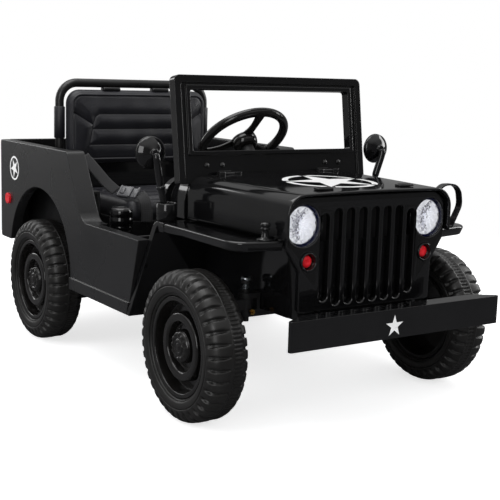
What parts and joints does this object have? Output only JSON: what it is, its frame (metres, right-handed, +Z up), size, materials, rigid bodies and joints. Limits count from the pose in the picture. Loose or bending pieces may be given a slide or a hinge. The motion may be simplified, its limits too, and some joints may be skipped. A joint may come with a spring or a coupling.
{
  "type": "ride-on electric toy car",
  "caption": "Child's ride-on electric 4x4 in old army style: open tub, flat fenders, slotted grille, folding windscreen, padded seat, lugged tyres and steered front wheels.",
  "frame": {"origin": "on the ground under the middle of the car's bounding box", "axes": "+X forwards, +Y to the car's left, +Z up"},
  "size_m": [1.149, 0.649, 0.6127],
  "materials": {
    "body_plastic": "glossy black moulded plastic",
    "dark_plastic": "matt black moulded plastic",
    "wheel_plastic": "satin black moulded plastic",
    "tyre_rubber": "matt black tread",
    "black_steel": "black paint",
    "zinc_steel": "zinc plated",
    "clear_lens": "clear faceted lens",
    "red_lens": "red lens",
    "belt_webbing": "black woven webbing",
    "seat_leather": "black imitation leather"
  },
  "bodies": {
    "car": {"rear_axle": "zinc_steel", "front_axle": "black_steel", "tub_side_right": "body_plastic", "tub_side_left": "body_plastic", "rear_panel": "body_plastic", "floor_pan": "dark_plastic", "wheel_house_right": "dark_plastic", "wheel_house_left": "dark_plastic", "chassis_frame": "black_steel", "front_carrier": "dark_plastic", "cowl": "body_plastic", "dashboard": "dark_plastic", "firewall": "dark_plastic", "hood": "body_plastic", "grille_baffle": "dark_plastic", "grille_panel": "body_plastic", "headlamp_right": "dark_plastic", "headlamp_left": "dark_plastic", "headlamp_lens_right": "clear_lens", "headlamp_lens_left": "clear_lens", "marker_lamp_right": "red_lens", "marker_lamp_left": "red_lens", "front_fender_right": "body_plastic", "front_fender_left": "body_plastic", "bumper": "body_plastic", "bumper_bracket": "dark_plastic", "screen_hinges": "dark_plastic", "steering_column": "dark_plastic", "seat_base": "dark_plastic", "seat_cushion": "seat_leather", "backrest_shell": "dark_plastic", "backrest_pad": "seat_leather", "roll_bar": "body_plastic", "mirror_right": "body_plastic", "mirror_left": "body_plastic", "battery_block": "dark_plastic", "motor_gearboxes": "dark_plastic", "load_floor": "dark_plastic", "nose_box": "body_plastic", "marker_bezels": "dark_plastic", "lamp_guard": "body_plastic", "fender_fitting": "dark_plastic", "seat_belt": "belt_webbing", "belt_buckle": "dark_plastic", "side_reflectors": "red_lens", "tail_lamps": "red_lens", "side_console": "dark_plastic"},
    "knuckle_right": {"knuckle_right": "zinc_steel"},
    "knuckle_left": {"knuckle_left": "zinc_steel"},
    "windscreen": {"windscreen_frame": "body_plastic"},
    "steering_wheel": {"steering_wheel": "dark_plastic"},
    "wheel_front_right": {"rim_front_right": "wheel_plastic", "tyre_front_right": "tyre_rubber"},
    "wheel_front_left": {"rim_front_left": "wheel_plastic", "tyre_front_left": "tyre_rubber"},
    "wheel_rear_right": {"rim_rear_right": "wheel_plastic", "tyre_rear_right": "tyre_rubber"},
    "wheel_rear_left": {"rim_rear_left": "wheel_plastic", "tyre_rear_left": "tyre_rubber"}
  },
  "joints": [
    {"name": "steer_left", "type": "hinge", "parent": "car", "child": "knuckle_left", "pos_m": [0.339, 0.174, 0.137], "axis": [0, 0, 1], "range_deg": [-25, 25]},
    {"name": "steer_right", "type": "hinge", "parent": "car", "child": "knuckle_right", "pos_m": [0.339, -0.174, 0.137], "axis": [0, 0, 1], "range_deg": [-25, 25]},
    {"name": "steering_wheel_turn", "type": "hinge", "parent": "car", "child": "steering_wheel", "pos_m": [0.0506, 0, 0.4813], "axis": [-0.6561, 0, 0.7547], "range_deg": [-60, 60]},
    {"name": "windscreen_fold", "type": "hinge", "parent": "car", "child": "windscreen", "pos_m": [0.188, 0, 0.424], "axis": [0, 1, 0], "range_deg": [0, 95]},
    {"name": "wheel_front_right_spin", "type": "hinge", "parent": "knuckle_right", "child": "wheel_front_right", "pos_m": [0.339, -0.2845, 0.137], "axis": [0, 1, 0], "continuous": true},
    {"name": "wheel_front_left_spin", "type": "hinge", "parent": "knuckle_left", "child": "wheel_front_left", "pos_m": [0.339, 0.2845, 0.137], "axis": [0, 1, 0], "continuous": true},
    {"name": "wheel_rear_right_spin", "type": "hinge", "parent": "car", "child": "wheel_rear_right", "pos_m": [-0.335, -0.2845, 0.137], "axis": [0, 1, 0], "continuous": true},
    {"name": "wheel_rear_left_spin", "type": "hinge", "parent": "car", "child": "wheel_rear_left", "pos_m": [-0.335, 0.2845, 0.137], "axis": [0, 1, 0], "continuous": true}
  ],
  "couplings": [
    {"joint": "steer_right", "follows": "steer_left", "ratio": 1},
    {"joint": "steering_wheel_turn", "follows": "steer_left", "ratio": 2.4}
  ]
}
